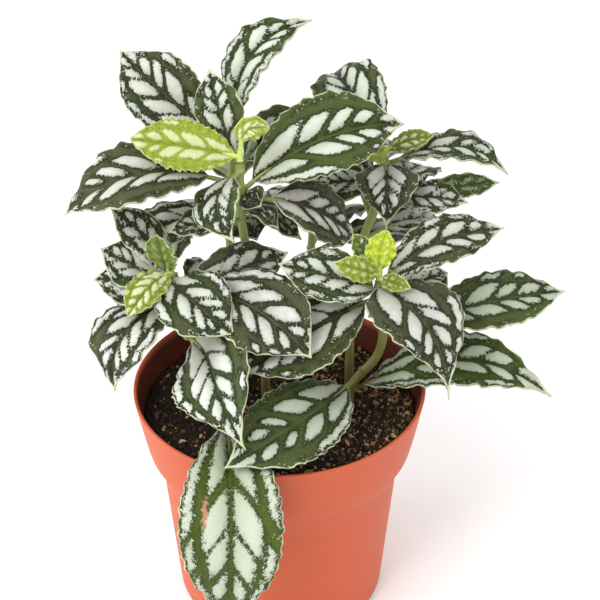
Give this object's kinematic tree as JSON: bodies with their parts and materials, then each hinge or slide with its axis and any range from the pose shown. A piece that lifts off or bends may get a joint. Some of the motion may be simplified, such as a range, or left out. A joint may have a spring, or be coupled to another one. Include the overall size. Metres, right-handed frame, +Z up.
{
  "type": "potted foliage plant",
  "caption": "Bushy house plant with silver-patched oval leaves on upright stems, growing from soil in a tapered plastic nursery pot.",
  "frame": {"origin": "centre of the pot's foot, on the surface that it stands on", "axes": "+Z up; the plant's front, as in the picture, faces -Y; +X to the right seen from the front"},
  "size_m": [0.1957, 0.182, 0.2429],
  "materials": {
    "pot": "satin terracotta-coloured plastic",
    "soil": "loose dark potting mix",
    "leaf": "dark green leaves with silver patches",
    "young_leaf": "lime green young leaves"
  },
  "bodies": {
    "root": {"pot": "pot", "soil": "soil", "shoot_left_high": "leaf", "shoot_rear": "leaf", "shoot_right_high": "leaf", "shoot_right_front": "leaf", "shoot_left_front": "leaf", "shoot_back_middle": "leaf", "shoot_back_left": "leaf", "growing_tip_left_high": "young_leaf", "growing_tip_right_high": "young_leaf", "growing_tip_right_front": "young_leaf", "growing_tip_left_front": "young_leaf"}
  },
  "joints": []
}
